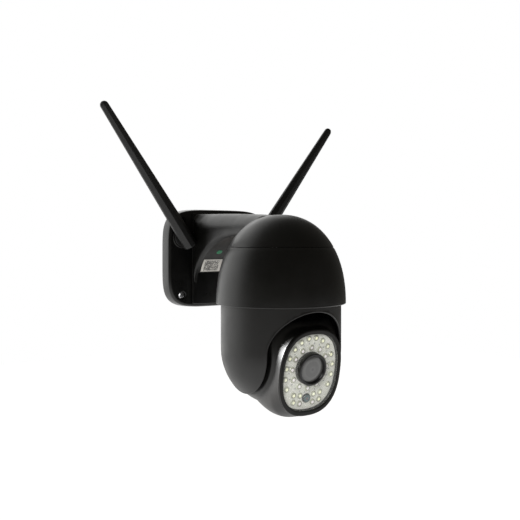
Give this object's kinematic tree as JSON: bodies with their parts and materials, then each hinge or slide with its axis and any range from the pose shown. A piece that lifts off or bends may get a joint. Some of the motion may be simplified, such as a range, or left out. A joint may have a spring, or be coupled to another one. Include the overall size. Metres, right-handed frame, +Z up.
{
  "type": "pan and tilt security camera",
  "caption": "Wall-mounted outdoor pan and tilt camera: domed bracket arm, turning lower housing, tipping oval-faced head with lamps and lens, and swinging aerials.",
  "frame": {"origin": "centre of the bracket's back face, on the wall", "axes": "+Y into the wall, -Y the way the camera looks, +Z up, +X to the right of someone facing the camera's front"},
  "size_m": [0.2846, 0.197, 0.2994],
  "materials": {
    "black_plastic": "satin-gloss black",
    "satin_black_plastic": "fine satin black",
    "black_rubber": "soft matt",
    "steel": "zinc plated",
    "brass": "machined",
    "nylon": "natural white nylon",
    "circuit_board": "solder mask",
    "led_board_white": "white solder mask",
    "led_lens": "clear and yellowish moulded lenses",
    "label_paper": "printed paper",
    "clear_window": "clear",
    "dark_glass": "coated lens glass",
    "sensor_glass": "dark teal",
    "aluminium": "as cast"
  },
  "bodies": {
    "bracket": {"wall_plate": "black_plastic", "back_plate": "steel", "plate_screw_lower_left": "steel", "plate_screw_upper_left": "steel", "plate_screw_lower_right": "steel", "plate_screw_upper_right": "steel", "cable_gland": "black_rubber", "aerial_socket_left": "satin_black_plastic", "aerial_socket_right": "satin_black_plastic", "dome_and_arm": "black_plastic", "arm_cover": "satin_black_plastic", "rating_label": "label_paper", "dome_skirt": "black_plastic", "seam_seal": "black_rubber", "dome_base": "satin_black_plastic", "main_board": "circuit_board", "wifi_module": "steel", "processor_heat_sink": "aluminium", "aerial_lead_left": "black_rubber", "aerial_lead_right": "black_rubber", "pan_motor_bracket": "steel", "pan_motor": "steel", "thrust_washer": "brass"},
    "housing": {"pan_shell": "black_plastic", "pan_deck": "satin_black_plastic", "pan_hub": "nylon", "pan_gear": "nylon", "hub_nut": "brass", "cheek_cover_left": "satin_black_plastic", "cheek_cover_right": "satin_black_plastic", "tilt_bush_left": "brass", "tilt_bush_right": "brass", "tilt_washer": "nylon", "tilt_gear": "nylon"},
    "head": {"head_front_shell": "black_plastic", "head_rear_shell": "black_plastic", "face_bezel": "black_plastic", "face_window": "clear_window", "led_lens_sheet": "led_lens", "led_board": "led_board_white", "led_heat_sink": "aluminium", "lens_hood": "black_rubber", "lens_glass": "dark_glass", "lens_barrel": "satin_black_plastic", "lens_holder": "satin_black_plastic", "sensor_board": "circuit_board", "light_sensor": "sensor_glass", "tilt_axle_left": "steel", "tilt_axle_right": "steel", "tilt_motor": "steel"},
    "aerial_left": {"aerial_blade_left": "satin_black_plastic", "aerial_hub_left": "satin_black_plastic"},
    "aerial_right": {"aerial_blade_right": "satin_black_plastic", "aerial_hub_right": "satin_black_plastic"},
    "pan_drive": {"pan_pinion": "brass"},
    "tilt_drive": {"tilt_pinion": "brass"}
  },
  "joints": [
    {"name": "pan", "type": "hinge", "parent": "bracket", "child": "housing", "pos_m": [0, -0.135, -0.06], "axis": [0, 0, 1], "range_deg": [-177.5, 177.5]},
    {"name": "tilt", "type": "hinge", "parent": "housing", "child": "head", "pos_m": [0, -0.135, -0.082], "axis": [1, 0, 0], "range_deg": [-10, 58]},
    {"name": "pan_pinion_spin", "type": "hinge", "parent": "bracket", "child": "pan_drive", "pos_m": [0, -0.105, -0.025], "axis": [0, 0, 1], "range_deg": [-720, 720]},
    {"name": "tilt_pinion_spin", "type": "hinge", "parent": "head", "child": "tilt_drive", "pos_m": [0.04, -0.10939, -0.07749], "axis": [1, 0, 0], "range_deg": [-34, 194]},
    {"name": "aerial_left_swing", "type": "hinge", "parent": "bracket", "child": "aerial_left", "pos_m": [-0.0462, -0.025, 0.022], "axis": [0, -1, 0], "range_deg": [-34.2, 145.8]},
    {"name": "aerial_right_swing", "type": "hinge", "parent": "bracket", "child": "aerial_right", "pos_m": [0.0462, -0.025, 0.022], "axis": [0, 1, 0], "range_deg": [-36.8, 143.2]}
  ],
  "couplings": [
    {"joint": "pan_pinion_spin", "follows": "pan", "ratio": -4},
    {"joint": "tilt_pinion_spin", "follows": "tilt", "ratio": 3.3333}
  ]
}
